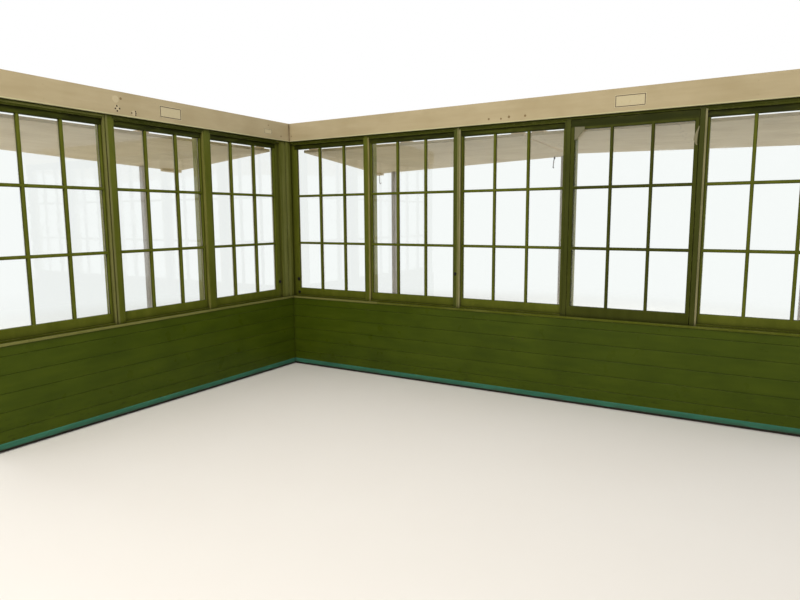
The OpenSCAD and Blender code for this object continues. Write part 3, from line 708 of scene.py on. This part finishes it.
# Down the tape: its place across and up, how far it lifts, and its width.
TAPE_PATH = [(3.317, 1.866, 0.0006, 0.006), (3.312, 1.848, 0.0012, 0.009), (3.306, 1.830, 0.0026, 0.014),
             (3.301, 1.808, 0.0040, 0.020), (3.299, 1.786, 0.0040, 0.021), (3.302, 1.767, 0.0022, 0.013),
             (3.308, 1.752, 0.0008, 0.007)]
points, faces = [], []
for x, z, lift, width in TAPE_PATH:
    for side, thick in ((-0.5, 0), (0.5, 0), (0.5, TAPE_T), (-0.5, TAPE_T)):
        points.append((x + side * width, fourth_face - TAPE_OFF - lift - thick, z))
for k in range(len(TAPE_PATH) - 1):
    faces += [(4 * k + n, 4 * k + (n + 1) % 4, 4 * k + 4 + (n + 1) % 4, 4 * k + 4 + n) for n in range(4)]
faces += [(3, 2, 1, 0), tuple(len(points) - 4 + n for n in range(4))]
piece("tape_scrap", points, faces, mottled("yellowed_tape", "#6b664c", "#807a5c"))


# Nails of the outside boards. Galvanised box nails stand a little proud of the siding
# at each stud, and of the head boards and casings, with a ring of rust on some.
def rusted_zinc():
    """Galvanised nails: dull zinc grey, half of them browned by rust."""
    material, tree, shader = finish_named("rusted_zinc")
    rust = spots(tree, 60)
    skin = over(tree, linear("#8f8d86"), "#7a5a3c", (rust, 0.45, 0.6))
    rough = add(tree, "MapRange", {"Value": rust, "From Min": 0.45, "From Max": 0.6,
                                   "To Min": 0.45, "To Max": 0.85})
    feed(tree, shader, {"Base Color": skin, "Roughness": rough.outputs["Result"], "Metallic": 0.5})
    return material


box_nail = rusted_zinc()
SIDING_FACE, CASING_FACE, SIDING_BOARDS = 0.058, 0.063, 5
BOARD_NAIL, CASING_NAIL = (0.0042, 0.0012), (0.0038, 0.001)
STUD_IN, HEAD_NAIL_SIDE, HEAD_NAIL_DROPS = (0.06, 0.04), 0.02, (0.141, 0.021)
CASED_POSTS = {"back": (0.850, 1.673, 2.512, 3.333), "left": (0.976, 1.784)}
CASING_NAIL_SIDE, CASING_NAIL_FOOT, CASING_NAIL_PITCH = 0.009, 0.71, 0.29
for wall in ("back", "left"):
    start, end = span(wall, "siding_" + wall)
    studs = studs_from(start + STUD_IN[0], end - STUD_IN[1])
    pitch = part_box("siding_" + wall)[1].z / SIDING_BOARDS
    places = [(stud + rng.uniform(-0.006, 0.006), (row + 0.3) * pitch + rng.uniform(-0.004, 0.004))
              for stud in studs for row in range(SIDING_BOARDS)]
    nail_rows("siding_nails_" + wall, wall, places, SIDING_FACE, box_nail, "hinge_iron", *BOARD_NAIL)
    places = [(stud + HEAD_NAIL_SIDE, wall_top - drop) for stud in studs for drop in HEAD_NAIL_DROPS]
    nail_rows("head_board_nails_" + wall, wall, places, CASING_FACE, box_nail, "hinge_iron", *BOARD_NAIL)
for wall, posts in CASED_POSTS.items():
    places = [(post + side * CASING_NAIL_SIDE,
               CASING_NAIL_FOOT + CASING_NAIL_PITCH * k + rng.uniform(-0.01, 0.01))
              for post in posts for side in (-1, 1) for k in range(5)]
    nail_rows("casing_nails_" + wall, wall, places, CASING_FACE, box_nail, "hinge_iron", *CASING_NAIL)


# Shutters. Each is ten cream boards on three battens, hinged over the windows and propped
# up nearly level in summer. From inside their undersides show, beige in their own shade.
SHADED_CREAM = ("#dccbaa", "#d3c29e", "#c7b38d")
for name, run in (("shutter_b1", "x"), ("shutter_b2", "x"), ("shutter_l1", "y")):
    dress(name, weathered_paint("weathered_cream_" + name, run, SHADED_CREAM, 0.6))


# Clenched nails of the shutters, two to a board at each batten. The heads are on the
# underside, which is the shutter's face when it is let down.
SHUTTER_Z, HINGE_Y, REACH = 1.900, 0.090, 1.210
BOARDS, BATTEN_W, BATTEN_IN, NAILS_IN_BOARD = 10, 0.090, 0.025, (0.25, 0.72)
CLENCHED = [(-0.0006, 0.0042), (0.0008, 0.0038), (0.0013, 0.002), (0.0011, 0)]
# Each shutter's wall, its start and end along it, and its outer edge's fall at either end.
SHUTTERS = {
    "shutter_b1": ("back", 0.100, 2.151, 0.117, 0.042),
    "shutter_b2": ("back", 2.167, 4.169, 0.024, 0.064),
    "shutter_l1": ("left", 0.150, 2.650, 0.116, 0.021),
}


def underside(name, along, reach):
    """A place on a shutter's underside. It sags from one end to the other, so it twists."""
    wall, start, end, fall_start, fall_end = SHUTTERS[name]
    fall = (fall_start + (fall_end - fall_start) * (along - start) / (end - start)) / REACH
    return Vector(on_wall(wall, along, HINGE_Y + reach, SHUTTER_Z - fall * reach))


for name in SHUTTERS:
    start, end = SHUTTERS[name][1:3]
    points, faces = [], []
    for batten in (start + BATTEN_IN, (start + end - BATTEN_W) / 2, end - BATTEN_W - BATTEN_IN):
        for k in range(BOARDS):
            for share in NAILS_IN_BOARD:
                along = batten + BATTEN_W * rng.uniform(0.3, 0.7)
                foot = underside(name, along, (k + share) * REACH / BOARDS)
                turned(points, faces, foot, (0, 0, -1), CLENCHED, 8)
    piece(name + "_nails", points, faces, box_nail)


# Square props, standing under the shutters' outer edges. They are fir that nobody
# painted, silvered by weather, checked along the grain and dark at the foot.
def silvered_fir():
    """Fir left to the weather: silver grey, ridged where the soft wood has gone, long checks."""
    material, tree, shader = finish_named("silvered_fir")
    grain = streaks(tree, "z", 3, 160, 4.0)
    wood = over(tree, linear("#c3bdb7"), "#a19a93", (grain, 0.35, 0.65))
    wood = over(tree, wood, "#3c352f", (streaks(tree, "z", 2.2, 320, 2.0), 0.66, 0.70))
    wood = over(tree, wood, "#5b5148", (lying_at(tree, "Z"), 0.16, 0.0), share=0.6)
    round_over = add(tree, "Bevel", {"Radius": 0.003}, samples=6).outputs["Normal"]
    relief = add(tree, "Bump", {"Height": grain, "Strength": 0.7, "Distance": 0.0012, "Normal": round_over})
    feed(tree, shader, {"Base Color": wood, "Normal": relief.outputs["Normal"], "Roughness": 0.88})
    return material


prop_wood = silvered_fir()
dress("props_back", prop_wood)
dress("props_left", prop_wood)


# Strap hinges. Each has a leaf on the head board, a rolled knuckle and a long strap on
# the top of the shutter, in strap iron that was once painted with the wall.
def strap_iron():
    """Strap iron outdoors: dark, its paint gone, brown with rust in patches, and pitted."""
    material, tree, shader = finish_named("strap_iron")
    rust = spots(tree, 18, 5.0)
    skin = over(tree, linear("#4b4842"), "#6d4a31", (rust, 0.48, 0.6))
    rough = add(tree, "MapRange", {"Value": rust, "From Min": 0.48, "From Max": 0.6,
                                   "To Min": 0.42, "To Max": 0.8})
    pitted = add(tree, "Bump", {"Height": spots(tree, 3), "Strength": 0.5, "Distance": 0.0004})
    feed(tree, shader, {"Base Color": skin, "Normal": pitted.outputs["Normal"],
                        "Roughness": rough.outputs["Result"], "Metallic": 0.75})
    return material


iron = strap_iron()
dress("hinges", iron)


# Hinge screws. They are round headed and of the same iron, three in each leaf and four
# down each strap, set to and fro across it.
ROUND_HEAD = [(-0.0006, 0.005), (0.0008, 0.005), (0.0022, 0.0036), (0.0028, 0.0016), (0.0026, 0)]
LEAF_FACE, LEAF_FOOT = 0.067, SHUTTER_Z + 0.0226
LEAF_SCREWS = ((-0.011, 0.020), (0.011, 0.034), (-0.011, 0.048))
STRAP_TOP, STRAP_SIDE, STRAP_SCREWS = 0.0266, 0.009, (0.035, 0.100, 0.165, 0.230)
# Where the hinges of each shutter stand along its wall.
HINGES = {"shutter_b1": (0.800, 1.630), "shutter_b2": (2.486, 3.323, 4.000),
          "shutter_l1": (0.895, 1.722, 2.480)}
points, faces = [], []
for name, places in HINGES.items():
    wall = SHUTTERS[name][0]
    for along in places:
        for side, height in LEAF_SCREWS:
            turned(points, faces, on_wall(wall, along + side, LEAF_FACE, LEAF_FOOT + height),
                   on_wall(wall, 0, 1, 0), ROUND_HEAD, 12)
        for k, reach in enumerate(STRAP_SCREWS):
            foot = underside(name, along + STRAP_SIDE * (-1) ** k, reach) + Vector((0, 0, STRAP_TOP))
            turned(points, faces, foot, (0, 0, 1), ROUND_HEAD, 12)
piece("hinge_screws", points, faces, iron)


# Hooks. A long hook of bent rod hangs from the edge of the first back shutter and a
# smaller one from its corner. In winter they hold the shutter down over the windows.
def bent_rod(name, path, radius):
    """An iron rod bent along a path, with closed ends."""
    curve = bpy.data.curves.new(name + "_path", "CURVE")
    curve.dimensions = "3D"
    spline = curve.splines.new("POLY")
    spline.points.add(len(path) - 1)
    for point, place in zip(spline.points, path):
        point.co = (*place, 1)
    curve.bevel_depth = radius
    curve.bevel_resolution = 3
    curve.use_fill_caps = True
    rod = bpy.data.objects.new(name + "_path", curve)
    bpy.context.scene.collection.objects.link(rod)
    mesh = bpy.data.meshes.new_from_object(rod.evaluated_get(bpy.context.evaluated_depsgraph_get()))
    bpy.data.objects.remove(rod)
    mesh.name = name
    mesh.shade_smooth()
    hang(name, mesh, iron)


def arc(wall, centre, radius, start, end, count):
    """Points on a circle that stands across the wall, from one angle to another."""
    turns = [math.radians(start + (end - start) * k / count) for k in range(count + 1)]
    along, out, height = centre
    return [on_wall(wall, along, out + radius * math.cos(t), height + radius * math.sin(t)) for t in turns]


STAPLE_R, STAPLE_DROP = 0.011, 0.010


def hook(name, shutter, along, reach, drop, radius, bend, lean=0):
    """A staple ring in the underside, a straight shank, and a hook turned up at the end. A
    stiff staple can hold the shank leaning along the wall."""
    wall = SHUTTERS[shutter][0]
    top = underside(shutter, along, reach)
    out = top.y if wall == "back" else -top.x
    height = top.z - STAPLE_DROP
    path = arc(wall, (along, out, height), STAPLE_R, 150, 450, 20)[::-1]
    path += arc(wall, (along + lean, out + bend, height - drop), bend, 180, 350, 12)
    bent_rod(name, path, radius)


hook("long_hook", "shutter_b1", along=2.022, reach=1.165, drop=0.078, radius=0.0036, bend=0.010,
     lean=-0.012)
hook("corner_hook", "shutter_b1", along=0.141, reach=1.185, drop=0.084, radius=0.0028, bend=0.014)


# The stage: a pale floor, soft light from a white world and three lamps, and the camera.
# Light Path keeps the background white without brightening the wall.
SHADOW_REACH, FADE_REACH = 4.6, 7.5
FLOOR_HALF, FLOOR_DROP = 30.0, 0.001


def shown(tree):
    """One where the camera, a reflection or a pane shows the surface, and otherwise zero."""
    path = add(tree, "LightPath").outputs
    seen = add(tree, "Math", {0: path["Is Camera Ray"], 1: path["Is Glossy Ray"]}, operation="MAXIMUM")
    return add(tree, "Math", {0: seen.outputs[0], 1: path["Is Transmission Ray"]},
               operation="MAXIMUM").outputs[0]


def pale_floor(middle):
    """Matt warm white, plain, so that the wall's shadow stays on it. Well clear of the wall
    it turns into the white background, so that no horizon shows through the panes."""
    material, tree, shader = finish_named("pale_floor")
    feed(tree, shader, {"Base Color": over(tree, linear("#e6e2da"), "#eae7e0", (spots(tree, 900), 0, 1)),
                        "Roughness": 0.9})
    place = add(tree, "TexCoord").outputs["Object"]
    off = add(tree, "VectorMath", {0: place, 1: middle}, operation="DISTANCE").outputs["Value"]
    far = add(tree, "MapRange", {"Value": off, "From Min": SHADOW_REACH, "From Max": FADE_REACH,
                                 "To Max": shown(tree)}, interpolation_type="SMOOTHSTEP").outputs["Result"]
    white = add(tree, "Emission", {"Color": linear("#ffffff"), "Strength": 1.0}).outputs[0]
    faded = add(tree, "MixShader", {0: far, 1: shader.outputs[0], 2: white}).outputs[0]
    feed(tree, tree.nodes["Material Output"], {"Surface": faded})
    return material


corners = [(x * FLOOR_HALF, y * FLOOR_HALF, -FLOOR_DROP) for x, y in ((-1, -1), (1, -1), (1, 1), (-1, 1))]
middle = (cad_box[0] + cad_box[1]) / 2
mesh = bpy.data.meshes.new("floor")
mesh.from_pydata(corners, [], [(0, 1, 2, 3)])
mesh.materials.append(pale_floor((middle.x, middle.y, 0)))
floor = bpy.data.objects.new("floor", mesh)
bpy.context.scene.collection.objects.link(floor)

world = bpy.data.worlds.new("studio")
bpy.context.scene.world = world
world.use_nodes = True
around = world.node_tree
around.nodes.clear()
glow = add(around, "Background", {"Color": linear("#fbfcff"), "Strength": 0.72})
backdrop = add(around, "Background", {"Color": linear("#ffffff"), "Strength": 1.0})
either = add(around, "MixShader", {0: shown(around), 1: glow.outputs[0], 2: backdrop.outputs[0]})
add(around, "OutputWorld", {"Surface": either.outputs[0]})


def softbox(name, place, aim, size, watts, colour):
    """A square area lamp that looks at a point."""
    lamp = bpy.data.lights.new(name, "AREA")
    lamp.shape = "SQUARE"
    lamp.size = size
    lamp.energy = watts
    lamp.color = linear(colour)[:3]
    made = bpy.data.objects.new(name, lamp)
    made.location = place
    made.rotation_euler = (Vector(aim) - Vector(place)).to_track_quat("-Z", "Y").to_euler()
    made.visible_camera = False
    made.visible_transmission = False
    bpy.context.scene.collection.objects.link(made)


softbox("inner_side", (2.4, -4.9, 4.6), (0.9, -0.5, 1.0), size=3.2, watts=190, colour="#fff6ea")
softbox("outer_back", (2.6, 5.2, 3.4), (2.0, 0.4, 1.0), size=3.0, watts=120, colour="#f2f6ff")
softbox("outer_left", (-5.2, -1.6, 3.4), (-0.4, -1.2, 1.0), size=3.0, watts=110, colour="#f2f6ff")

CAMERA_PLACE = (3.7399, -4.3361, 1.3140)
YAW, PITCH_DOWN, ROLL = 0.5393, 0.1312, -0.0058
LENS_MM, SENSOR_MM = 27.85, 36
camera = bpy.data.cameras.new("photograph")
camera.lens = LENS_MM
camera.sensor_width = SENSOR_MM
camera.sensor_fit = "HORIZONTAL"
taken = bpy.data.objects.new("photograph", camera)
taken.matrix_world = (Matrix.Translation(CAMERA_PLACE) @ Matrix.Rotation(YAW, 4, "Z")
                      @ Matrix.Rotation(math.pi / 2 - PITCH_DOWN, 4, "X") @ Matrix.Rotation(ROLL, 4, "Z"))
bpy.context.scene.collection.objects.link(taken)
bpy.context.scene.camera = taken
bpy.context.scene.view_settings.view_transform = "Standard"
